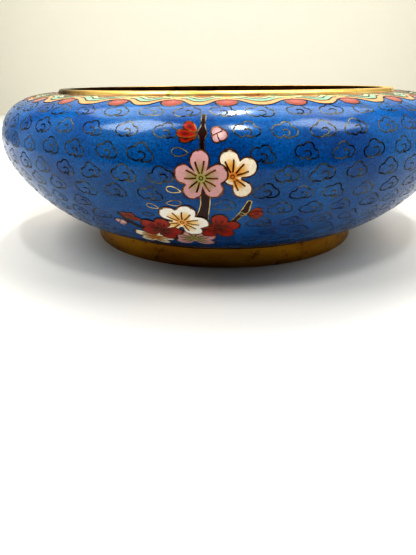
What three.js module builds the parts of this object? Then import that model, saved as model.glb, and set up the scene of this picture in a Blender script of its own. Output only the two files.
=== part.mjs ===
// A wide, low bowl of copper under fused enamel, with a flat brass band round
// its mouth and an upright brass foot ring. Millimetres, +Z up. The origin is
// where the bowl's axis meets the table.

import * as THREE from "three";

// Whole bowl
const height = 76;
const bellyRadius = 115;
const bellyHeight = 53;
const wall = 2.4; // copper with enamel on both faces

// Under the belly the outside leaves the foot at a slope and turns upright.
// A fullness is how far a curve's handle reaches, as a share of its span.
const baseSlope = 16.6; // degrees above level, where the wall leaves the foot
const baseFullness = 0.52;
const underBellyFullness = 0.33;

// Above the belly it turns in to a shoulder that is almost level at the mouth.
const shoulderFullness = 1.06;
const mouthFullness = 0.16;
const mouthSlope = 1; // degrees that the shoulder falls, just outside the band

// Band round the mouth: a flat ring on the shoulder, with a collar through the
// opening that covers the edge of the wall.
const bandRadius = 86.4;
const bandWidth = 4.4;
const bandHeight = 2;
const collarThickness = 1.2;
const collarLip = 0.8; // how far the collar hangs below the wall
const collarGap = 0.3; // solder between the collar and the wall

// Foot ring, soldered on under the flat base
const footRadius = 73.2;
const footHeight = 9.7;
const footThickness = 2.2;

// Softened edges of both brass rings
const bandEdge = 0.4;
const footEdge = 0.4;

// How finely the round forms are cut
const turnSteps = 72;
const curveSteps = 9;

// Sizes that follow from the ones above
const bandSeat = height - bandHeight;
const bandInside = bandRadius - bandWidth;
const collarOutside = bandInside + collarThickness;
const mouthRadius = collarOutside + collarGap;
const collarBottom = bandSeat - wall - collarLip;
const footInside = footRadius - footThickness;
const floorHeight = footHeight + wall;

const point = (radius, z) => new THREE.Vector2(radius, z);

// A point at a distance from another one, in a direction given in degrees
function handle(from, distance, degrees) {
  const angle = THREE.MathUtils.degToRad(degrees);
  return point(from.x + distance * Math.cos(angle), from.y + distance * Math.sin(angle));
}

// Outside of the bowl from the foot ring up to the belly
function underCurve() {
  const foot = point(footRadius, footHeight);
  const belly = point(bellyRadius, bellyHeight);
  const leavingFoot = handle(foot, baseFullness * (bellyRadius - footRadius), baseSlope);
  const enteringBelly = handle(belly, underBellyFullness * (bellyHeight - footHeight), -90);
  return new THREE.CubicBezierCurve(foot, leavingFoot, enteringBelly, belly);
}

// Outside of the bowl from the belly up to the band
function shoulderCurve() {
  const belly = point(bellyRadius, bellyHeight);
  const mouth = point(bandRadius, bandSeat);
  const leavingBelly = handle(belly, shoulderFullness * (bandSeat - bellyHeight), 90);
  const enteringMouth = handle(mouth, mouthFullness * (bellyRadius - bandRadius), -mouthSlope);
  return new THREE.CubicBezierCurve(belly, leavingBelly, enteringMouth, mouth);
}

// Points along a curve, moved square to it by the wall's thickness, inwards
function insideOf(curve) {
  const points = [];
  for (let step = 0; step <= curveSteps; step += 1) {
    const at = step / curveSteps;
    const along = curve.getTangent(at);
    const inward = point(-along.y, along.x);
    points.push(curve.getPoint(at).addScaledVector(inward, wall));
  }
  return points;
}

// The two points that soften a corner between its neighbours
function softCorner(before, corner, after, size) {
  const towards = (other) => other.clone().sub(corner).setLength(size).add(corner);
  return [towards(before), towards(after)];
}

// A closed section whose listed corners are softened
function softSection(corners, size, isSoft) {
  const count = corners.length;
  const points = corners.flatMap((corner, index) => {
    const before = corners[(index + count - 1) % count];
    const after = corners[(index + 1) % count];
    return isSoft(index) ? softCorner(before, corner, after, size) : [corner];
  });
  return [...points, points[0].clone()];
}

// A section turned round the Z axis
function turned(section) {
  return new THREE.LatheGeometry(section, turnSteps).rotateX(Math.PI / 2);
}

function bowlBody() {
  const under = underCurve();
  const shoulder = shoulderCurve();
  const floorCorner = footRadius - wall * Math.tan(THREE.MathUtils.degToRad(baseSlope / 2));
  const outside = [
    point(0, footHeight),
    ...under.getPoints(curveSteps),
    ...shoulder.getPoints(curveSteps).slice(1),
    point(mouthRadius, bandSeat),
  ];
  const inside = [
    point(0, floorHeight),
    point(floorCorner, floorHeight),
    ...insideOf(under).slice(1),
    ...insideOf(shoulder).slice(1),
    point(mouthRadius, bandSeat - wall),
  ];
  return turned([...outside, ...inside.reverse()]);
}

function rimBand() {
  const corners = [
    point(bandRadius, bandSeat),
    point(bandRadius, height),
    point(bandInside, height),
    point(bandInside, collarBottom),
    point(collarOutside, collarBottom),
    point(collarOutside, bandSeat),
  ];
  const isFree = (index) => index > 0 && index < corners.length - 1;
  return turned(softSection(corners, bandEdge, isFree));
}

function footRing() {
  const corners = [
    point(footInside, 0),
    point(footRadius, 0),
    point(footRadius, footHeight),
    point(footInside, footHeight),
  ];
  const isLower = (index) => index < 2;
  return turned(softSection(corners, footEdge, isLower));
}

const blueEnamel = { color: 0x0f4fa3, roughness: 0.15, metalness: 0 };
const brightBrass = { color: 0xd9b45a, roughness: 0.3, metalness: 1 };
const agedBrass = { color: 0x6e5014, roughness: 0.45, metalness: 1 };

function piece(name, geometry, finish) {
  const mesh = new THREE.Mesh(geometry, new THREE.MeshStandardMaterial(finish));
  mesh.name = name;
  return mesh;
}

const bowl = new THREE.Group();
bowl.add(piece("bowl_body", bowlBody(), blueEnamel));
bowl.add(piece("rim_band", rimBand(), brightBrass));
bowl.add(piece("foot_ring", footRing(), agedBrass));

export default bowl;
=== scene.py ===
import math
import random

import bmesh
import bpy
from mathutils import Matrix, Vector, noise


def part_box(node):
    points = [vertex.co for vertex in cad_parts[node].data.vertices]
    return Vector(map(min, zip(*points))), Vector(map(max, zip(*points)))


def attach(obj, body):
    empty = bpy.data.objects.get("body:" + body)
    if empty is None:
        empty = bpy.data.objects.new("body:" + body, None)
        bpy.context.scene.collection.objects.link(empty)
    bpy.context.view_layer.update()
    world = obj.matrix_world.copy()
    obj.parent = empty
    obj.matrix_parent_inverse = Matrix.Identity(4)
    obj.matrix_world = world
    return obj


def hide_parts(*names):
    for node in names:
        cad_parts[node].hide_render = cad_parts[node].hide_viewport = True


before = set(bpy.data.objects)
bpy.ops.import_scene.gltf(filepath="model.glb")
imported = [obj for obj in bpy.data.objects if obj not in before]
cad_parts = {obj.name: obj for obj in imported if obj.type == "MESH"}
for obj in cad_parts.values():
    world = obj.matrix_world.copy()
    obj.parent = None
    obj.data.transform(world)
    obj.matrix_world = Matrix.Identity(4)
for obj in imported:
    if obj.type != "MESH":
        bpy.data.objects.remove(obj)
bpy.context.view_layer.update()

MM = 0.001

# Camera of the photograph: it stands just above the mouth and looks down
IMAGE_HEIGHT = 555
FOCAL_PIXELS = 455
SENSOR = 36
CAMERA_PITCH = 23.48
CAMERA_ROLL = -0.44
CAMERA_YAW = -2.05
CAMERA_DISTANCE = 267.6
CAMERA_HEIGHT = 79.7

# Sizes of the three turned pieces, from the frame, in millimetres
_, BODY_HIGH = (Vector(corner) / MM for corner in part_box("bowl_body"))
BAND_LOW, BAND_HIGH = (Vector(corner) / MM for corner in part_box("rim_band"))
_, FOOT_HIGH = (Vector(corner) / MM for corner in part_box("foot_ring"))
BELLY_RADIUS = BODY_HIGH.x
BAND_RADIUS = BAND_HIGH.x
FOOT_RADIUS = FOOT_HIGH.x
BAND_SEAT = BODY_HIGH.z
BAND_TOP = BAND_HIGH.z
COLLAR_BOTTOM = BAND_LOW.z
FOOT_TOP = FOOT_HIGH.z

# The bowl's outline between those sizes
BELLY_HEIGHT = 53
WALL = 2.4
BASE_SLOPE = 16.6
BASE_FULLNESS = 0.52
UNDER_BELLY_FULLNESS = 0.33
SHOULDER_FULLNESS = 1.06
MOUTH_FULLNESS = 0.16
MOUTH_SLOPE = 1
BAND_WIDTH = 4.4
BAND_FOOT = 0.5
BAND_ROUND = 1.7
COLLAR_THICKNESS = 1.2
COLLAR_GAP = 0.3
FOOT_THICKNESS = 2.2

TURN_STEPS = 240
CURVE_STEPS = 26

# Widths of the flattened brass wires, wide enough to show in the picture
WIRE_WIDTH = 0.5
STEM_WIRE = 0.38
PETAL_WIRE = 0.46
STAMEN_WIRE = 0.6
# Height of a wire over what it lies on, in its middle and at its edges
WIRE_PROUD = 0.035
WIRE_EDGE = 0.012
# Height of the stems and coral drops over the blue ground, and of each layer over the last
CELL_LIFT = 0.03
LAYER = 0.06
# How far the skirt round a cell goes down from its face
CELL_DEPTH = 0.25

# Edges flatter than this many degrees are shaded smooth
TURNED_SMOOTH = 32
LAID_SMOOTH = 40

random.seed(7)


def bezier(start, first, second, end, t):
    """Point at share t of a cubic curve."""
    u = 1 - t
    return u**3 * start + 3 * u * u * t * first + 3 * u * t * t * second + t**3 * end


def reach(point, distance, degrees):
    """Point at a distance from another one, in a direction above level."""
    angle = math.radians(degrees)
    return point + Vector((math.cos(angle), math.sin(angle))) * distance


def outline_curves():
    """The two curves of the bowl's outside, from the band down to the foot ring."""
    mouth = Vector((BAND_RADIUS, BAND_SEAT))
    belly = Vector((BELLY_RADIUS, BELLY_HEIGHT))
    foot = Vector((FOOT_RADIUS, FOOT_TOP))
    shoulder = (
        mouth,
        reach(mouth, MOUTH_FULLNESS * (BELLY_RADIUS - BAND_RADIUS), -MOUTH_SLOPE),
        reach(belly, SHOULDER_FULLNESS * (BAND_SEAT - BELLY_HEIGHT), 90),
        belly,
    )
    under = (
        belly,
        reach(belly, UNDER_BELLY_FULLNESS * (BELLY_HEIGHT - FOOT_TOP), -90),
        reach(foot, BASE_FULLNESS * (BELLY_RADIUS - FOOT_RADIUS), BASE_SLOPE),
        foot,
    )
    return shoulder, under


def outline(steps):
    """Points down the outside, from the band to the foot ring."""
    shoulder, under = outline_curves()
    points = [bezier(*shoulder, step / steps) for step in range(steps + 1)]
    return points + [bezier(*under, step / steps) for step in range(1, steps + 1)]


# The outside again in fine steps, with the length run from the band to each point
GLAZE = outline(160)
GLAZE_RUN = [0.0]
for before, after in zip(GLAZE, GLAZE[1:]):
    GLAZE_RUN.append(GLAZE_RUN[-1] + (after - before).length)
GLAZE_LENGTH = GLAZE_RUN[-1]


def glaze_at(run):
    """Radius, height and outward normal of the outside, at a run down from the band."""
    run = min(max(run, 0.0), GLAZE_LENGTH - 1e-6)
    low, high = 0, len(GLAZE_RUN) - 1
    while high - low > 1:
        middle = (low + high) // 2
        if GLAZE_RUN[middle] <= run:
            low = middle
        else:
            high = middle
    share = (run - GLAZE_RUN[low]) / (GLAZE_RUN[high] - GLAZE_RUN[low])
    point = GLAZE[low].lerp(GLAZE[high], share)
    along = (GLAZE[min(high + 1, len(GLAZE) - 1)] - GLAZE[max(low - 1, 0)]).normalized()
    return point.x, point.y, Vector((-along.y, along.x))


def on_glaze(run, azimuth, lift):
    """Place in metres on the bowl's outside. Azimuth 0 faces the camera, + is to the right."""
    radius, height, normal = glaze_at(run)
    angle = math.radians(azimuth)
    radius += normal.x * lift
    height += normal.y * lift
    return Vector((radius * math.sin(angle), -radius * math.cos(angle), height)) * MM


def lay_on_glaze(piece, run, azimuth, turn, lift=0, size=1):
    """Wraps a flat piece, drawn in millimetres with y up, on the bowl at a place."""
    angle = math.radians(turn)
    for vertex in piece.data.vertices:
        across = (vertex.co.x * math.cos(angle) - vertex.co.y * math.sin(angle)) * size
        up = (vertex.co.x * math.sin(angle) + vertex.co.y * math.cos(angle)) * size
        radius = glaze_at(run - up)[0]
        turned = azimuth + math.degrees(across / radius)
        vertex.co = on_glaze(run - up, turned, vertex.co.z + lift)


# Materials

# Range over which the patina at the left end of the band grows, as x in metres
PATINA_FROM = -0.048
PATINA_TO = -0.087


def linear(hex_colour, alpha=1.0):
    """Linear colour of an sRGB hex value."""
    parts = [int(hex_colour[place:place + 2], 16) / 255 for place in (1, 3, 5)]
    bent = [part / 12.92 if part <= 0.04045 else ((part + 0.055) / 1.055) ** 2.4 for part in parts]
    return (*bent, alpha)


def add(tree, kind, links=None, **settings):
    """Adds a node. Settings name its sockets or properties, links name its inputs."""
    node = tree.nodes.new(kind)
    for name, value in settings.items():
        if hasattr(node, name):
            setattr(node, name, value)
        else:
            node.inputs[name.replace("_", " ")].default_value = value
    for name, source in (links or {}).items():
        tree.links.new(source, node.inputs[name])
    return node


def new_material(name):
    """An empty material, its tree and its shader."""
    material = bpy.data.materials.new(name)
    material.use_nodes = True
    tree = material.node_tree
    shader = tree.nodes["Principled BSDF"]
    return material, tree, shader


def ramp(tree, source, stops):
    """A colour ramp of place and hex colour pairs, read by a source."""
    node = add(tree, "ShaderNodeValToRGB", {"Fac": source})
    band = node.color_ramp
    while len(band.elements) < len(stops):
        band.elements.new(0.5)
    for element, (place, colour) in zip(band.elements, stops):
        element.position = place
        element.color = linear(colour)
    return node.outputs["Color"]


def mix(tree, share, first, second, blend="MIX"):
    """Mixes two colours, each a socket or a hex value. Share is a socket or a number."""
    node = tree.nodes.new("ShaderNodeMix")
    node.data_type = "RGBA"
    node.blend_type = blend
    for place, value in ((0, share), (6, first), (7, second)):
        if isinstance(value, bpy.types.NodeSocket):
            tree.links.new(value, node.inputs[place])
        else:
            node.inputs[place].default_value = linear(value) if isinstance(value, str) else value
    return node.outputs[2]


def enamel_surface(tree, shader, colour, mottle):
    """Fired and ground glass: mottled, pitted with pinholes and glossy over all."""
    place = add(tree, "ShaderNodeTexCoord").outputs["Object"]
    # Grain of the ground enamel, drawn at about 0.7 mm so that it shows
    grain = add(tree, "ShaderNodeTexNoise", {"Vector": place}, Scale=1400, Detail=2, Roughness=0.6)
    # Uneven packing before the firing, in patches of about 8 mm
    patch = add(tree, "ShaderNodeTexNoise", {"Vector": place}, Scale=120, Detail=3, Roughness=0.5)
    pits = add(tree, "ShaderNodeTexVoronoi", {"Vector": place}, Scale=420, Randomness=1.0)
    grain_tone = ramp(tree, grain.outputs["Fac"], [(0.3, "#B4B4B4"), (0.7, "#FFFFFF")])
    patch_tone = ramp(tree, patch.outputs["Fac"], [(0.3, "#DEDEDE"), (0.7, "#FFFFFF")])
    pit_tone = ramp(tree, pits.outputs["Distance"], [(0.05, "#8C8C8C"), (0.11, "#FFFFFF")])
    toned = mix(tree, mottle, colour, grain_tone, "MULTIPLY")
    toned = mix(tree, mottle * 0.8, toned, patch_tone, "MULTIPLY")
    toned = mix(tree, mottle * 0.6, toned, pit_tone, "MULTIPLY")
    tree.links.new(toned, shader.inputs["Base Color"])
    bump = add(
        tree, "ShaderNodeBump", {"Height": patch.outputs["Fac"]}, Strength=0.12, Distance=0.0004
    )
    fine = add(
        tree, "ShaderNodeBump",
        {"Height": pits.outputs["Distance"], "Normal": bump.outputs["Normal"]},
        Strength=0.03, Distance=0.0001,
    )
    tree.links.new(fine.outputs["Normal"], shader.inputs["Normal"])
    shader.inputs["IOR"].default_value = 1.45
    shader.inputs["Specular IOR Level"].default_value = 0.42
    shader.inputs["Roughness"].default_value = 0.16


def ground_enamel(name, deep, pale):
    """Blue ground: vitreous enamel over copper, deeper and paler in soft clouds."""
    material, tree, shader = new_material(name)
    place = add(tree, "ShaderNodeTexCoord").outputs["Object"]
    broad = add(tree, "ShaderNodeTexNoise", {"Vector": place}, Scale=45, Detail=4, Roughness=0.6)
    colour = ramp(tree, broad.outputs["Fac"], [(0.35, deep), (0.65, pale)])
    enamel_surface(tree, shader, colour, 1.0)
    return material


def cell_enamel(name, centre, middle, edge, rim="#4A2A12"):
    """Opaque enamel in a wire cell, shaded by hand from its centre to its edge.
    Its UV map holds the share of that way, 1 at the wire. Stems and lappets use part of it."""
    material, tree, shader = new_material(name)
    own = add(tree, "ShaderNodeUVMap", uv_map="cell")
    parts = add(tree, "ShaderNodeSeparateXYZ", {"Vector": own.outputs["UV"]})
    place = add(tree, "ShaderNodeTexCoord").outputs["Object"]
    wash = add(tree, "ShaderNodeTexNoise", {"Vector": place}, Scale=500, Detail=3)
    wander = add(
        tree, "ShaderNodeMath", {0: wash.outputs["Fac"]}, operation="MULTIPLY_ADD"
    )
    wander.inputs[1].default_value = 0.3
    wander.inputs[2].default_value = -0.15
    reached = add(
        tree, "ShaderNodeMath", {0: parts.outputs["X"], 1: wander.outputs[0]}, operation="ADD"
    )
    stops = [(0.18, centre), (0.48, middle), (0.72, edge), (0.93, edge), (1.0, rim)]
    enamel_surface(tree, shader, ramp(tree, reached.outputs[0], stops), 0.25)
    return material


def patina_at_left_end(tree, place, spots, colour):
    """Brown and then green patina towards the left end of the band."""
    x = add(tree, "ShaderNodeSeparateXYZ", {"Vector": place}).outputs["X"]
    near = add(tree, "ShaderNodeMapRange", {"Value": x})
    near.inputs["From Min"].default_value = PATINA_FROM
    near.inputs["From Max"].default_value = PATINA_TO
    uneven = add(tree, "ShaderNodeMath", {0: near.outputs[0], 1: spots}, operation="MULTIPLY")
    tones = [(0.1, "#A08A58"), (0.28, "#6E5428"), (0.4, "#48340E"), (0.48, "#363E0A")]
    tone = ramp(tree, uneven.outputs[0], tones)
    share = ramp(tree, near.outputs[0], [(0.1, "#000000"), (0.6, "#FFFFFF")])
    return mix(tree, share, colour, tone)


def brass(
    name, bright, dull, stain, roughness, stain_from=0.52, streak=(60, 60, 900), worn_end=False
):
    """Brass that was worked and polished, then left to tarnish in streaks and spots."""
    material, tree, shader = new_material(name)
    place = add(tree, "ShaderNodeTexCoord").outputs["Object"]
    drawn_out = add(tree, "ShaderNodeMapping", {"Vector": place}, Scale=streak)
    lines = add(tree, "ShaderNodeTexNoise", {"Vector": drawn_out.outputs[0]}, Scale=1, Detail=5)
    spots = add(tree, "ShaderNodeTexNoise", {"Vector": place}, Scale=130, Detail=6, Roughness=0.7)
    base = ramp(tree, lines.outputs["Fac"], [(0.35, dull), (0.6, bright)])
    stained = ramp(
        tree, spots.outputs["Fac"], [(stain_from, "#000000"), (stain_from + 0.13, "#FFFFFF")]
    )
    colour = mix(tree, stained, base, stain)
    if worn_end:
        colour = patina_at_left_end(tree, place, spots.outputs["Fac"], colour)
    tree.links.new(colour, shader.inputs["Base Color"])
    shine = add(tree, "ShaderNodeMapRange", {"Value": spots.outputs["Fac"]})
    shine.inputs["To Min"].default_value = roughness
    shine.inputs["To Max"].default_value = roughness + 0.3
    tree.links.new(shine.outputs["Result"], shader.inputs["Roughness"])
    bump = add(
        tree, "ShaderNodeBump", {"Height": lines.outputs["Fac"]}, Strength=0.2, Distance=0.0002
    )
    tree.links.new(bump.outputs["Normal"], shader.inputs["Normal"])
    shader.inputs["Metallic"].default_value = 1.0
    return material


# Vitreous enamel, ground and polished: glassy, with grain and pinholes
BLUE = ground_enamel("cobalt_ground_enamel", "#02549C", "#1070B6")
# The same glass left as fired inside and under the base: plainer
INSIDE = ground_enamel("plain_counter_enamel", "#1A5FA0", "#2A76B4")
# Opaque enamels of petals and buds, packed in wire cells, fired and ground flush
PINK = cell_enamel("rose_petal_enamel", "#AAA85C", "#C0A086", "#DEACAC", "#5A2C18")
CREAM = cell_enamel("cream_petal_enamel", "#DE8A28", "#F0BE70", "#FCEFD6")
WHITE = cell_enamel("white_petal_enamel", "#EFB058", "#F8D696", "#FFFAEE")
RED = cell_enamel("iron_red_enamel", "#640E06", "#921C0C", "#A42A12", "#340A04")
BUD_PINK = cell_enamel("pale_bud_enamel", "#E9C6C0", "#DCB8B8", "#C8A0A4")
# Dark enamel of the stems, laid and fired the same way
BARK = cell_enamel("dark_bark_enamel", "#4A140E", "#300C0A", "#1E0A08", "#140806")
# Opaque enamels of the border, laid and fired the same way
CORAL = cell_enamel("coral_border_enamel", "#A25148", "#9A463F", "#8E3C36")
PEACH = cell_enamel("peach_border_enamel", "#DEB080", "#D8A26E", "#D09660")
MINT = cell_enamel("mint_border_enamel", "#A4BEA4", "#90B49A", "#80AA8E")
PALE = cell_enamel("straw_border_enamel", "#C8C49A", "#C0C09A", "#B4BA98")
# Drawn brass wire, ground flush and tarnished to a dark grey brown
WIRE = brass("tarnished_cell_wire", "#6E6C5C", "#38362E", "#12110E", 0.35, stain_from=0.47)
# Wire round the petals, browner where the glass met it in the kiln
BROWN_WIRE = brass("kiln_browned_wire", "#8C5C2C", "#5A3416", "#2C160A", 0.35, stain_from=0.5)
# The same wire where handling keeps it bright, on most stems and loose loops
GOLD_WIRE = brass("polished_cell_wire", "#D8C48C", "#A48650", "#5A4020", 0.28, stain_from=0.54)
# Gilt brass, polished flat on top
BRIGHT = brass(
    "gilt_rim_brass", "#EFD080", "#D0A858", "#7A6028", 0.24, stain_from=0.575, worn_end=True
)
# The same metal at the side and below, rougher and stained, and lighter in colour than the top as
# painted light on the outer face
RIM_SIDE_PAINTED_LIGHT = brass(
    "stained_rim_brass", "#FFE4A8", "#EEC884", "#707038", 0.35, stain_from=0.56, worn_end=True
)
# Brass that was handled and never polished, with a golden brown patina
PATINA = brass(
    "aged_foot_brass", "#A87C24", "#8A5E1A", "#46220A", 0.3, stain_from=0.56, streak=(30, 30, 120)
)
# Inner face of the collar: aged brass, darkened as painted shade inside the mouth
COLLAR_PAINTED_SHADE = brass("collar_brass_painted_shade", "#4A2E10", "#2A1808", "#140A04", 0.5)


# Modelling helpers

def clear_selection():
    """Selects nothing."""
    bpy.ops.object.select_all(action="DESELECT")


def active(piece):
    """Makes a piece the only selected one and the active one."""
    clear_selection()
    piece.select_set(True)
    bpy.context.view_layer.objects.active = piece
    return piece


def drawn_line(name, points):
    """A plain edge chain: one vertex of a plane, pulled from point to point."""
    clear_selection()
    bpy.ops.mesh.primitive_plane_add(size=1)
    piece = bpy.context.object
    piece.name = name
    bpy.ops.object.mode_set(mode="EDIT")
    bpy.ops.mesh.merge(type="CENTER")
    bpy.ops.transform.translate(value=points[0])
    for before, after in zip(points, points[1:]):
        bpy.ops.mesh.extrude_region_move(
            TRANSFORM_OT_translate={"value": [b - a for a, b in zip(before, after)]}
        )
    bpy.ops.object.mode_set(mode="OBJECT")
    return piece


def turned(name, section):
    """A section of radius and height in millimetres, spun round the bowl's axis."""
    points = [(radius * MM, 0, height * MM) for radius, height in section]
    piece = active(drawn_line(name, points))
    bpy.ops.object.mode_set(mode="EDIT")
    bpy.ops.mesh.select_all(action="SELECT")
    bpy.ops.mesh.spin(steps=TURN_STEPS, angle=math.tau, center=(0, 0, 0), axis=(0, 0, 1))
    bpy.ops.mesh.select_all(action="SELECT")
    bpy.ops.mesh.remove_doubles(threshold=1e-6)
    bpy.ops.mesh.normals_make_consistent(inside=False)
    bpy.ops.object.mode_set(mode="OBJECT")
    bpy.ops.object.shade_smooth_by_angle(angle=math.radians(TURNED_SMOOTH))
    return piece


def finish_piece(piece, materials):
    """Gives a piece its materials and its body."""
    piece.data.materials.clear()
    for material in materials:
        piece.data.materials.append(material)
    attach(piece, "root")
    return piece


# The three turned pieces

# Above this height every face that looks outwards is blue, except under the shoulder
NEAR_BELLY = 40
# Side faces of the band this near to its opening are the collar, dark with painted shade
COLLAR_FACE = 1


def inner_line(steps):
    """The inside of the wall, from the floor up to the mouth."""
    points = outline(steps)
    moved = []
    for place, point in enumerate(points):
        along = points[min(place + 1, len(points) - 1)] - points[max(place - 1, 0)]
        along.normalize()
        moved.append(point + Vector((along.y, -along.x)) * WALL)
    return [(point.x, point.y) for point in reversed(moved)]


def make_bowl():
    """The enamelled bowl, blue outside and plainer inside and under the base."""
    mouth = BAND_RADIUS - BAND_WIDTH + COLLAR_THICKNESS + COLLAR_GAP
    floor = FOOT_TOP + WALL
    outside = [(point.x, point.y) for point in outline(CURVE_STEPS)]
    inside = inner_line(CURVE_STEPS // 2)[1:]
    floor_rings = [(share * (FOOT_RADIUS - 1), floor) for share in (0, 0.25, 0.5, 0.75, 1)]
    base_rings = [(share * FOOT_RADIUS, FOOT_TOP) for share in (0.75, 0.5, 0.25, 0)]
    section = floor_rings + inside + [(mouth, BAND_SEAT - WALL), (mouth, BAND_SEAT)]
    piece = turned("enamelled_bowl", section + outside + base_rings)
    finish_piece(piece, [BLUE, INSIDE])
    for face in piece.data.polygons:
        centre = face.center / MM
        outward = Vector((centre.x, centre.y, 0)).dot(face.normal) > 0
        below = centre.z > FOOT_TOP + 0.2 and face.normal.z < 0
        above = centre.z > BELLY_HEIGHT and face.normal.z > 0
        under_shoulder = centre.z > BELLY_HEIGHT and face.normal.z < 0
        shown = outward and not under_shoulder and (below or above or centre.z > NEAR_BELLY)
        face.material_index = 0 if shown else 1
    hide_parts("bowl_body")
    return piece


def wear(piece, amount, spacing):
    """Small dents and unevenness of handwork, pushed in along the normals."""
    for vertex in piece.data.vertices:
        dent = noise.noise(vertex.co / (spacing * MM)) * amount * MM
        vertex.co -= vertex.normal * abs(dent)


def make_band():
    """The brass band on the mouth, rounded outside, with its collar."""
    inside = BAND_RADIUS - BAND_WIDTH
    collar = inside + COLLAR_THICKNESS
    soft = 0.35
    rise = BAND_TOP - BAND_SEAT - BAND_FOOT
    shoulder = []
    for step in range(9):
        angle = math.pi / 2 * step / 8
        across = BAND_RADIUS - BAND_ROUND * (1 - math.cos(angle))
        shoulder.append((across, BAND_SEAT + BAND_FOOT + rise * math.sin(angle)))
    section = [
        (collar, BAND_SEAT),
        (BAND_RADIUS - 0.25, BAND_SEAT),
        (BAND_RADIUS, BAND_SEAT + 0.2),
        *shoulder,
        (inside + soft, BAND_TOP),
        (inside + soft * 0.3, BAND_TOP - soft * 0.3),
        (inside, BAND_TOP - soft),
        (inside, COLLAR_BOTTOM + soft),
        (inside + soft, COLLAR_BOTTOM),
        (collar, COLLAR_BOTTOM),
        (collar, BAND_SEAT),
    ]
    piece = turned("mouth_band", section)
    wear(piece, amount=0.08, spacing=11)
    finish_piece(piece, [BRIGHT, RIM_SIDE_PAINTED_LIGHT, COLLAR_PAINTED_SHADE])
    for face in piece.data.polygons:
        centre = face.center / MM
        radius = math.hypot(centre.x, centre.y)
        on_top = face.normal.z > 0.12
        # Top faces take the top brass, side faces its lighter copy with painted light, and the
        # collar's inner face the dark brass with painted shade
        face.material_index = 0 if on_top else 2 if radius < inside + COLLAR_FACE else 1
    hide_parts("rim_band")
    return piece


def make_foot():
    """The brass foot ring, with a soft lower edge and a groove under the bowl."""
    inside = FOOT_RADIUS - FOOT_THICKNESS
    soft = 0.4
    section = [
        (inside, FOOT_TOP),
        (inside, soft),
        (inside + soft, 0),
        (FOOT_RADIUS - soft, 0),
        (FOOT_RADIUS - soft * 0.3, soft * 0.3),
        (FOOT_RADIUS, soft),
        (FOOT_RADIUS, FOOT_TOP * 0.3),
        (FOOT_RADIUS, FOOT_TOP * 0.55),
        (FOOT_RADIUS, FOOT_TOP * 0.8),
        (FOOT_RADIUS, FOOT_TOP - 0.5),
        (FOOT_RADIUS - 0.45, FOOT_TOP - 0.3),
        (FOOT_RADIUS - 0.45, FOOT_TOP),
        (inside, FOOT_TOP),
    ]
    piece = turned("brass_foot", section)
    wear(piece, amount=0.18, spacing=14)
    finish_piece(piece, [PATINA])
    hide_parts("foot_ring")
    return piece


# Wires and cells

def lobed_outline(lobes, steps):
    """Outer edge of round lobes (x, y, radius) that overlap round the origin."""
    points = []
    for step in range(steps):
        angle = math.tau * step / steps
        way = Vector((math.cos(angle), math.sin(angle)))
        far = 0.0
        for x, y, radius in lobes:
            middle = Vector((x, y))
            along = middle.dot(way)
            spread = radius * radius - (middle.length_squared - along * along)
            if spread >= 0:
                far = max(far, along + math.sqrt(spread))
        points.append(way * far)
    return points


def wire_mesh(mesh, points, closed, width=WIRE_WIDTH):
    """Adds one wire to an open bmesh: a low ridge that lies on the enamel."""
    count = len(points)
    rows = []
    for place, point in enumerate(points):
        if closed:
            along = points[(place + 1) % count] - points[place - 1]
        else:
            along = points[min(place + 1, count - 1)] - points[max(place - 1, 0)]
        side = Vector((-along.y, along.x)).normalized() * width / 2
        rows.append([
            mesh.verts.new((*(point + side), WIRE_EDGE)),
            mesh.verts.new((*point, WIRE_PROUD)),
            mesh.verts.new((*(point - side), WIRE_EDGE)),
        ])
    pairs = list(zip(rows, rows[1:] + rows[:1])) if closed else list(zip(rows, rows[1:]))
    for first, second in pairs:
        mesh.faces.new((first[0], first[1], second[1], second[0]))
        mesh.faces.new((first[1], first[2], second[2], second[1]))


def flat_piece(name, build):
    """A flat mesh piece in millimetres, filled in by a function."""
    data = bpy.data.meshes.new(name)
    piece = bpy.data.objects.new(name, data)
    bpy.context.collection.objects.link(piece)
    mesh = bmesh.new()
    build(mesh)
    bmesh.ops.recalc_face_normals(mesh, faces=mesh.faces)
    if mesh.faces and sum(face.normal.z for face in mesh.faces) < 0:
        bmesh.ops.reverse_faces(mesh, faces=mesh.faces)
    mesh.to_mesh(data)
    mesh.free()
    return piece


def cell_map(mesh):
    """The UV map that the cell enamels read, made when the mesh has none."""
    return mesh.loops.layers.uv.get("cell") or mesh.loops.layers.uv.new("cell")


def cell_mesh(mesh, points, centre=Vector((0, 0)), rings=3):
    """Adds one enamel cell: rings of faces from the centre to the outline, with a skirt.
    The UV map holds the share of the way to the outline."""
    uv = cell_map(mesh)
    share_of = {}
    middle = mesh.verts.new((*centre, 0))
    share_of[middle] = 0.0
    rows = []
    for ring in range(1, rings + 1):
        share = ring / rings
        row = [mesh.verts.new((*centre.lerp(point, share), 0)) for point in points]
        share_of.update((vertex, share) for vertex in row)
        rows.append(row)
    skirt = [mesh.verts.new((*point, -CELL_DEPTH)) for point in points]
    share_of.update((vertex, 1.0) for vertex in skirt)
    rows.append(skirt)
    faces = []
    count = len(points)
    for place in range(count):
        after = (place + 1) % count
        faces.append(mesh.faces.new((middle, rows[0][place], rows[0][after])))
        for inner, outer in zip(rows, rows[1:]):
            faces.append(mesh.faces.new(
                (inner[place], outer[place], outer[after], inner[after])
            ))
    for face in faces:
        for loop in face.loops:
            loop[uv].uv = (share_of[loop.vert], 0.5)


def laid_copy(master, run, azimuth, turn, size):
    """A copy of a flat master with its own mesh, wrapped on the bowl."""
    piece = master.copy()
    piece.data = master.data.copy()
    bpy.context.collection.objects.link(piece)
    lay_on_glaze(piece, run, azimuth, turn, size=size)
    return piece


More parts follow.
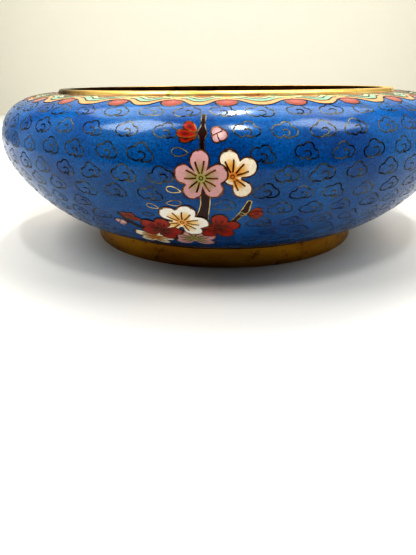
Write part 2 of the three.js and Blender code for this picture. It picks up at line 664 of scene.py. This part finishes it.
def joined(name, parts):
    """Parts joined to one piece."""
    clear_selection()
    for part in parts:
        part.select_set(True)
    bpy.context.view_layer.objects.active = parts[0]
    bpy.ops.object.join()
    piece = bpy.context.object
    piece.name = name
    bpy.ops.object.shade_smooth_by_angle(angle=math.radians(LAID_SMOOTH))
    return piece


# Clouds: bent wires laid in rows over the blue ground

# Runs of the rows, and how many clouds stand in each
CLOUD_ROWS = (20.8, 28.8, 36.6, 44.0, 51.3, 58.6, 66.2, 73.2, 80.0, 86.8, 93.4, 99.4)
CLOUDS_ROUND = 52
# Room that a cloud of full size needs round the bowl, and what is kept clear above the foot
CLOUD_ROOM = 12.6
CLOUD_MARGIN = 4.5
# Lobes of three clouds that differ a little: x, y, radius
CLOUD_LOBES = (
    ((0.2, 1.5, 2.3), (-2.7, 0.0, 2.0), (2.7, -0.1, 1.9), (-1.3, -0.9, 1.4), (1.3, -0.9, 1.3)),
    ((-0.3, 1.3, 2.5), (-3.0, -0.2, 1.8), (2.5, 0.2, 2.1), (-0.9, -1.0, 1.4), (1.7, -0.8, 1.2)),
    ((0.5, 1.6, 2.1), (-2.4, 0.4, 2.1), (2.9, -0.3, 1.7), (-1.7, -0.8, 1.4), (1.0, -1.1, 1.3)),
)


def cloud_wire(lobes):
    """One cloud: the lobed outline and the hook that curls in from below."""
    def build(mesh):
        wire_mesh(mesh, lobed_outline(lobes, 24), True)
        x, y, radius = lobes[-1]
        hook = [Vector((x - 0.8, y - 1.15))]
        for step in range(9):
            share = step / 8
            angle = math.radians(-72 + 205 * share)
            hook.append(Vector((
                x - 1.1 + (1.9 - 0.7 * share) * math.cos(angle),
                y + 0.8 + (1.6 - 0.8 * share) * math.sin(angle),
            )))
        wire_mesh(mesh, hook, False)
    return flat_piece("cloud_master", build)


# The blossom spray, as places (degrees from the spray's axis, run from the band)

# Azimuths of their axes: the photographed one, then one at each quarter turn
SPRAYS = (-3.6, 86.4, 176.4, 266.4)
# Where the rows leave room for a spray: across, upper run, lower run, half width in degrees
SPRAY_KEEP_CLEAR = (
    (0, 22, 34, 2.2), (-2.3, 27, 33, 3.0), (2.6, 27, 33, 3.0), (1.8, 33.5, 54, 7.4),
    (-2.9, 45, 57, 4.0), (-0.5, 50, 64, 2.6), (-5.6, 55, 88, 9.4), (-13, 64, 90, 7.4),
    (2.6, 57, 79, 5.2), (7.6, 50, 63, 4.6), (-17.6, 58, 74, 4.4),
)
# Clouds that stand between the stems of a spray: across, run, size
SPRAY_CLOUDS = ((3.9, 56.0, 0.86), (11.1, 50.1, 1.0))


def near_spray(run, azimuth):
    """Whether a place lies under one of the sprays."""
    for spray in SPRAYS:
        off = (azimuth - spray + 180) % 360 - 180
        for across, top, low, half in SPRAY_KEEP_CLEAR:
            if abs(off - across) < half and top < run < low:
                return True
    return False


def make_clouds():
    """All cloud wires as one piece: the rows, then the clouds inside the sprays."""
    masters = [cloud_wire(lobes) for lobes in CLOUD_LOBES]
    parts = []
    for row, run in enumerate(CLOUD_ROWS):
        radius = glaze_at(run)[0]
        pitch = 360 / CLOUDS_ROUND
        fit = min(1.0, math.radians(pitch) * radius / CLOUD_ROOM)
        for place in range(CLOUDS_ROUND):
            azimuth = (place + 0.5 * (row % 2)) * pitch + random.uniform(-0.5, 0.5)
            here = run + random.uniform(-0.4, 0.4)
            size = fit * random.uniform(0.92, 1.05)
            turn = random.uniform(-9, 9)
            master = random.choice(masters)
            if here < GLAZE_LENGTH - CLOUD_MARGIN and not near_spray(here, azimuth):
                parts.append(laid_copy(master, here, azimuth, turn, size))
    for spray in SPRAYS:
        for across, run, size in SPRAY_CLOUDS:
            parts.append(laid_copy(masters[0], run, spray + across, 0, size))
    for master in masters:
        bpy.data.objects.remove(master)
    return finish_piece(joined("cloud_wires", parts), [WIRE])


# Blossoms, buds, bark and loose loops of one spray

def petal_ways(radius, angles):
    """Direction and place of each petal of a blossom, for the angles of its petals."""
    petal = radius * 0.36
    ways = [Vector((math.cos(math.radians(a)), math.sin(math.radians(a)))) for a in angles]
    lobes = [(*(way * (radius - petal)), petal) for way in ways]
    return ways, lobes + [(0, 0, radius * 0.34)]


def blossom_cell(mesh, radius, angles):
    """The petals of a blossom as one cell."""
    cell_mesh(mesh, lobed_outline(petal_ways(radius, angles)[1], 60), rings=4)


def blossom_wire(mesh, radius, angles):
    """The outline of the petals, two stamens on each and a ring in the middle."""
    ways, lobes = petal_ways(radius, angles)
    wire_mesh(mesh, lobed_outline(lobes, 60), True, PETAL_WIRE)
    for way in ways:
        aside = Vector((-way.y, way.x)) * radius
        for side in (-1, 1):
            points = [
                way * radius * 0.17 + aside * side * 0.04,
                way * radius * 0.38 + aside * side * 0.11,
                way * radius * 0.6 + aside * side * 0.16,
            ]
            wire_mesh(mesh, points, False, STAMEN_WIRE)
    ring = [Vector((math.cos(a), math.sin(a))) * radius * 0.07 for a in
            (math.tau * step / 8 for step in range(8))]
    wire_mesh(mesh, ring, True, STEM_WIRE)


def drop_outline(length, width, steps=20):
    """A drop with its point at the origin and its round end on the right."""
    points = []
    for step in range(steps):
        angle = math.tau * step / steps
        x = length * (1 - math.cos(angle)) / 2
        y = width / 2 * math.sin(angle) * math.sin(angle / 2) ** 0.8 * 1.12
        points.append(Vector((x, y)))
    return points


def finer(line, gap=1.0):
    """The same line of x, y and half width, with a point about every millimetre."""
    ends = [Vector(point) for point in line]
    points = []
    for before, after in zip(ends, ends[1:]):
        steps = max(1, round((after - before).length / gap))
        points += [before.lerp(after, step / steps) for step in range(steps)]
    return points + [ends[-1]]


def stem_outline(line):
    """Outline of a stem given by points of x, y and half width."""
    left, right = [], []
    for place, (x, y, half) in enumerate(line):
        before = line[max(place - 1, 0)].xy
        after = line[min(place + 1, len(line) - 1)].xy
        along = (after - before).normalized()
        side = Vector((-along.y, along.x)) * half
        left.append(Vector((x, y)) + side)
        right.append(Vector((x, y)) - side)
    return left + right[::-1]


def stem_cell(mesh, line):
    """Adds a strip of bark between the two sides of a stem, with a skirt."""
    uv = cell_map(mesh)
    points = stem_outline(line)
    count = len(line)
    top = [mesh.verts.new((*point, 0)) for point in points]
    skirt = [mesh.verts.new((*point, -CELL_DEPTH)) for point in points]
    faces = []
    for place in range(count - 1):
        faces.append(mesh.faces.new(
            (top[place], top[place + 1], top[-place - 2], top[-place - 1])
        ))
    total = len(points)
    for place in range(total):
        after = (place + 1) % total
        faces.append(mesh.faces.new((top[place], skirt[place], skirt[after], top[after])))
    for face in faces:
        for loop in face.loops:
            loop[uv].uv = (0.5, 0.5)


def even(turn):
    """Angles of five petals that stand evenly, the first one turned from upright."""
    return tuple(90 + turn + 72 * step for step in range(5))


# Blossoms: across, run, radius, petal angles, petal enamel, layer from the back
BLOSSOMS = (
    (-14.2, 81.2, 8.8, even(57), CREAM, 0),
    (-3.4, 79.6, 9.6, (24, -44, 218, 156, 90), PINK, 0),
    (2.4, 69.0, 8.6, (82, 15, -54, 235, 162), RED, 1),
    (5.1, 43.6, 9.1, (102, 33, -54, 176), CREAM, 1),
    (-0.2, 44.1, 9.3, (94, 167, 237, -46, 14), PINK, 2),
    (-4.9, 65.7, 10.4, (68, 131, 1, -60, 212), WHITE, 2),
    (-10.6, 72.4, 8.8, (70, 137, 202, -6, -68), RED, 3),
)
# Bud lobes: across, run, length, width, turn, enamel, layer
BUD_LOBES = (
    (-1.0, 29.0, 5.2, 3.9, 142, RED, 0), (-1.0, 31.0, 5.6, 2.5, 186, RED, 0),
    (-0.9, 30.1, 6.8, 3.1, 174, RED, 1),
    (8.4, 60.2, 5.2, 3.2, 30, RED, 0), (8.4, 60.4, 4.6, 2.6, -26, RED, 0),
    (8.3, 60.2, 5.6, 3.1, 2, RED, 1),
    (-16.6, 66.3, 4.8, 3.2, 117, RED, 0), (-16.6, 66.3, 4.6, 3.2, 66, RED, 0),
    (-16.4, 66.3, 4.0, 2.8, 12, RED, 1),
)
# Round buds: across, run, size, turn
ROUND_BUDS = ((2.75, 30.0, 1.0, 0), (-19.9, 69.4, 0.95, 20))
ROUND_BUD_LOBES = ((-0.6, 0.9, 1.9), (1.0, -0.1, 1.9), (-0.7, -1.0, 1.6))
# Stems: across and run of the origin, points of x, y and half width, and the wire
STEMS = (
    (0, 35.4, ((0.1, 0, 0.8), (0, 3.6, 0.7), (0, 6.0, 1.7), (0.1, 8.4, 0.7), (0.1, 13.4, 0.75)),
     WIRE),
    (0.2, 63.0, ((-1.5, -2, 2.1), (-1.3, 1.5, 2.2), (-0.6, 4, 1.8), (0.2, 8, 1.6), (0.6, 15, 1.8)),
     GOLD_WIRE),
    (5.2, 66.0, ((0, 0, 0.9), (2.6, 4.4, 0.9), (4.8, 7.6, 1.4), (6.2, 12.6, 0.7)), GOLD_WIRE),
    (7.0, 59.8, ((-0.6, 0, 0.9), (0.9, -0.6, 0.5), (2.0, -0.8, 0.3)), GOLD_WIRE),
    (-13.0, 72.6, ((0, 0, 1.1), (-4.7, 0.3, 1.1), (-8.2, 4.4, 1.0), (-11.2, 10.3, 0.5)), WIRE),
)
# Loose loops of wire: across, run, length, width, turn, wire
LOOPS = (
    (-2.3, 35.9, 5.6, 3.0, 176, GOLD_WIRE), (-3.9, 49.5, 5.2, 2.8, 168, GOLD_WIRE),
    (-8.85, 58.0, 4.8, 2.4, 158, GOLD_WIRE), (-7.1, 55.1, 5.6, 3.0, 4, GOLD_WIRE),
    (-10.4, 62.2, 4.4, 2.2, 174, WIRE), (10.8, 68.4, 5.4, 2.8, 16, WIRE),
)


def round_bud_wire(mesh):
    """Outline of a round bud, and the two folds that part its petals."""
    wire_mesh(mesh, lobed_outline(ROUND_BUD_LOBES, 24), True, PETAL_WIRE)
    folds = (((-2.3, -0.4), (-0.6, 0.5), (1.2, 1.3)), ((-0.6, 0.4), (-0.2, -1.0), (0.4, -2.0)))
    for fold in folds:
        wire_mesh(mesh, [Vector(point) for point in fold], False, STEM_WIRE)


def laid(name, build, run, azimuth, turn, lift):
    """A flat piece made by a function and wrapped at its place on the bowl."""
    piece = flat_piece(name, build)
    lay_on_glaze(piece, run, azimuth, turn, lift)
    return piece


def make_spray(number, azimuth):
    """One spray: its enamel cells by colour, and all its wires."""
    cells = {}
    wires = {}
    for across, run, ends, metal in STEMS:
        here = (run, azimuth + across, 0, CELL_LIFT)
        line = finer(ends)
        edge = stem_outline(line)
        stem = laid("stem", lambda mesh: stem_cell(mesh, line), *here)
        cells.setdefault(BARK, []).append(stem)
        wire = laid("wire", lambda mesh: wire_mesh(mesh, edge, True, STEM_WIRE), *here)
        wires.setdefault(metal, []).append(wire)
    for across, run, radius, angles, enamel, layer in BLOSSOMS:
        lift = CELL_LIFT + (layer + 1) * LAYER
        here = (run, azimuth + across, 0, lift)
        petals = laid("petals", lambda mesh: blossom_cell(mesh, radius, angles), *here)
        cells.setdefault(enamel, []).append(petals)
        wire = laid("wire", lambda mesh: blossom_wire(mesh, radius, angles), *here)
        wires.setdefault(BROWN_WIRE, []).append(wire)
    bud_edge = lobed_outline(ROUND_BUD_LOBES, 24)
    for across, run, size, turn in ROUND_BUDS:
        bud = flat_piece("bud", lambda mesh: cell_mesh(mesh, bud_edge))
        wire = flat_piece("wire", round_bud_wire)
        for piece in (bud, wire):
            lay_on_glaze(piece, run, azimuth + across, turn, CELL_LIFT + LAYER, size)
        cells.setdefault(BUD_PINK, []).append(bud)
        wires.setdefault(BROWN_WIRE, []).append(wire)
    for across, run, length, width, turn, enamel, layer in BUD_LOBES:
        here = (run, azimuth + across, turn, CELL_LIFT + (layer + 1) * LAYER)
        edge = drop_outline(length, width)
        middle = Vector((length * 0.6, 0))
        bud = laid("bud", lambda mesh: cell_mesh(mesh, edge, middle, 2), *here)
        cells.setdefault(enamel, []).append(bud)
        wire = laid("wire", lambda mesh: wire_mesh(mesh, edge, True, PETAL_WIRE), *here)
        wires.setdefault(BROWN_WIRE, []).append(wire)
    for across, run, length, width, turn, metal in LOOPS:
        edge = drop_outline(length, width)
        here = (run, azimuth + across, turn, 0)
        wire = laid("wire", lambda mesh: wire_mesh(mesh, edge, True, STEM_WIRE), *here)
        wires.setdefault(metal, []).append(wire)
    for enamel, parts in cells.items():
        name = f"spray_{number}_{enamel.name}"
        finish_piece(joined(name, parts), [enamel])
    for metal, parts in wires.items():
        finish_piece(joined(f"spray_{number}_{metal.name}", parts), [metal])


# Border of lappets round the mouth

# Azimuths of the coral drops between the lappets: listed one by one at the front, then evenly
# spaced
FRONT_DROPS = (-51.2, -37.8, -22.5, -10.5, 0.5, 14.5, 27.0, 41.0)
BACK_DROPS = 19
DROP_RUN = 13.6
DROP_HALF_WIDTH = 4.0
DROP_HALF_HEIGHT = 3.6
DROP_STEPS = 24
# The bowl's radius in the middle of the border
BORDER_RADIUS = 95
# Lappets from the back: name, enamel, depth, share of the width, layer
LAPPETS = (
    ("lappet_peach", PEACH, 16.8, 1.0, 1),
    ("lappet_mint", MINT, 13.6, 0.8, 2),
    ("lappet_straw", PALE, 10.6, 0.52, 3),
    ("lappet_coral", CORAL, 8.0, 0.34, 4),
)


def lappet_edge(depth, half, steps=18):
    """Lower edge of a lappet from left to right: a deep middle lobe with level ends."""
    points = []
    for step in range(steps + 1):
        x = -1 + 2 * step / steps
        wave = 0.64 + 0.34 * math.exp(-(abs(x / 0.58) ** 3))
        points.append(Vector((x * half, -depth * wave)))
    return points


def lappet_cell(mesh, depth, half):
    """Adds a strip of enamel from the band down to a lappet's edge."""
    uv = cell_map(mesh)
    edge = lappet_edge(depth, half)
    rows = []
    for share in (0, 0.2, 0.4, 0.6, 0.8, 1):
        places = [(point.x, point.y * share - 0.1, 0) for point in edge]
        rows.append([(mesh.verts.new(place), share) for place in places])
    rows.append([(mesh.verts.new((*point, -CELL_DEPTH)), 1.0) for point in edge])
    for upper, lower in zip(rows, rows[1:]):
        for place in range(len(edge) - 1):
            corners = (upper[place], lower[place], lower[place + 1], upper[place + 1])
            face = mesh.faces.new([corner[0] for corner in corners])
            for loop, corner in zip(face.loops, corners):
                loop[uv].uv = (0.35 + 0.6 * corner[1], 0.5)


def make_border():
    """The coral drops, the lappets between them and all their wires."""
    gap = (FRONT_DROPS[0] + 360 - FRONT_DROPS[-1]) / (BACK_DROPS + 1)
    drops = list(FRONT_DROPS)
    drops += [FRONT_DROPS[-1] + gap * (step + 1) for step in range(BACK_DROPS)]
    wires = []
    corals = []
    cells = {name: [] for name, *_ in LAPPETS}
    turns = [math.tau * step / DROP_STEPS for step in range(DROP_STEPS)]
    drop_edge = [
        Vector((DROP_HALF_WIDTH * math.cos(turn), DROP_HALF_HEIGHT * math.sin(turn)))
        for turn in turns
    ]
    for drop, following in zip(drops, drops[1:] + [drops[0] + 360]):
        here = (DROP_RUN, drop, 0, CELL_LIFT)
        corals.append(laid("drop", lambda mesh: cell_mesh(mesh, drop_edge), *here))
        wires.append(laid("wire", lambda mesh: wire_mesh(mesh, drop_edge, True), *here))
        reach_aside = math.radians(following - drop) * BORDER_RADIUS / 2
        for name, enamel, depth, width, layer in LAPPETS:
            half = reach_aside * width
            here = (0, (drop + following) / 2, 0, CELL_LIFT + layer * LAYER)
            cells[name].append(laid(name, lambda mesh: lappet_cell(mesh, depth, half), *here))
            edge = lappet_edge(depth, half, 24)
            wires.append(laid("wire", lambda mesh: wire_mesh(mesh, edge, False), *here))
    finish_piece(joined("border_coral_drops", corals), [CORAL])
    for name, enamel, *_ in LAPPETS:
        finish_piece(joined(name, cells[name]), [enamel])
    finish_piece(joined("border_wires", wires), [WIRE])


# Camera, floor and light

# The two boards are squares. Their places are the y of their middles, in metres
BOARD_SIZE = 4
TABLE_PLACE = 1.69
BACKDROP_PLACE = 0.96


def make_camera():
    """The photograph's camera, turned by its yaw, pitch and roll."""
    pitch, yaw, roll = (math.radians(a) for a in (CAMERA_PITCH, CAMERA_YAW, CAMERA_ROLL))
    ahead = Vector((
        math.sin(yaw) * math.cos(pitch), math.cos(yaw) * math.cos(pitch), -math.sin(pitch)
    ))
    level = ahead.cross(Vector((0, 0, 1))).normalized()
    over = level.cross(ahead)
    right = level * math.cos(roll) + over * math.sin(roll)
    up = over * math.cos(roll) - level * math.sin(roll)
    data = bpy.data.cameras.new("camera")
    data.sensor_fit = "VERTICAL"
    data.sensor_height = SENSOR
    data.lens = FOCAL_PIXELS * SENSOR / IMAGE_HEIGHT
    data.clip_start = 0.01
    camera = bpy.data.objects.new("camera", data)
    bpy.context.collection.objects.link(camera)
    turn = Matrix((right, up, -ahead)).transposed().to_4x4()
    place = Vector((0, -CAMERA_DISTANCE, CAMERA_HEIGHT)) * MM
    camera.matrix_world = Matrix.Translation(place) @ turn
    bpy.context.scene.camera = camera


def plain_paint(name, colour, roughness):
    """Smooth pale board under and behind the bowl."""
    material, _, shader = new_material(name)
    shader.inputs["Base Color"].default_value = linear(colour)
    shader.inputs["Roughness"].default_value = roughness
    return material


def make_stage():
    """The table and the wall behind it."""
    clear_selection()
    # The table ends 4 cm behind the camera, seen from the bowl
    bpy.ops.mesh.primitive_plane_add(size=BOARD_SIZE, location=(0, TABLE_PLACE, 0))
    floor = bpy.context.object
    floor.name = "floor"
    floor.data.materials.append(plain_paint("white_table_board", "#BDBCB9", 0.5))
    upright = (math.pi / 2, 0, 0)
    place = (0, BACKDROP_PLACE, 0)
    bpy.ops.mesh.primitive_plane_add(size=BOARD_SIZE, location=place, rotation=upright)
    wall = bpy.context.object
    wall.name = "backdrop"
    wall.data.materials.append(plain_paint("cream_backdrop_board", "#C5C2B5", 0.8))


def area_light(name, place, target, size, power, colour="#FFFFFF"):
    """A soft rectangular light at a place in metres, aimed at a target."""
    data = bpy.data.lights.new(name, "AREA")
    data.shape = "RECTANGLE"
    data.size, data.size_y = size
    data.energy = power
    data.color = linear(colour)[:3]
    light = bpy.data.objects.new(name, data)
    bpy.context.collection.objects.link(light)
    light.location = place
    light.rotation_euler = (Vector(target) - Vector(place)).to_track_quat("-Z", "Y").to_euler()
    return light


def make_light():
    """The room as a world, and the lamps, windows and fill lights."""
    world = bpy.data.worlds.new("soft_room")
    world.use_nodes = True
    tree = world.node_tree
    # The room is bright above, beside and behind the bowl and dim in front of it
    way = add(tree, "ShaderNodeTexCoord").outputs["Generated"]
    parts = add(tree, "ShaderNodeSeparateXYZ", {"Vector": way})
    back = add(tree, "ShaderNodeMath", {0: parts.outputs["Z"], 1: parts.outputs["Y"]})
    aside = add(tree, "ShaderNodeMath", {0: parts.outputs["X"]}, operation="ABSOLUTE")
    around = add(tree, "ShaderNodeMath", {0: back.outputs[0], 1: aside.outputs[0]})
    glow = ramp(tree, around.outputs[0], [(0.0, "#303234"), (0.35, "#CACAC6"), (1.0, "#F6F4EA")])
    # Seen directly it is a pale wall, like the backdrop
    seen = add(tree, "ShaderNodeLightPath").outputs["Is Camera Ray"]
    tree.links.new(mix(tree, seen, glow, "#F4F0E4"), tree.nodes["Background"].inputs["Color"])
    tree.nodes["Background"].inputs["Strength"].default_value = 0.66
    bpy.context.scene.world = world
    bpy.context.scene.view_settings.view_transform = "Standard"
    bpy.context.scene.view_settings.look = "High Contrast"
    bowl = (0, 0, 0.06)
    area_light("ceiling_panel", (0, 0.55, 1.2), (0, 0.3, 0), (1.8, 0.7), 9, "#FFFBF4")
    area_light("ceiling_edge", (0, 0.07, 1.2), (0, 0.07, 0), (1.5, 0.24), 1.4, "#FFFBF4")
    area_light("left_window", (-0.64, -0.34, 1.12), bowl, (0.46, 0.6), 7.2)
    area_light("right_window", (0.76, -0.27, 1.12), bowl, (0.42, 0.66), 5.6)
    # Light that pale walls throw under the belly, too even to show as a reflection
    for name, side in (("left_fill", -1), ("right_fill", 1)):
        fill = area_light(name, (0.8 * side, 0.3, 0.26), (0, 0, 0), (0.5, 0.3), 3)
        fill.visible_glossy = False
    area_light("front_lamp", (0.086, -0.45, 0.9), bowl, (0.035, 0.14), 2.4)
    area_light("upper_lamp", (0.06, 0.29, 1.15), bowl, (0.06, 0.2), 3.0)


make_camera()
make_bowl()
make_band()
make_foot()
make_clouds()
for number, azimuth in enumerate(SPRAYS, 1):
    make_spray(number, azimuth)
make_border()
make_stage()
make_light()
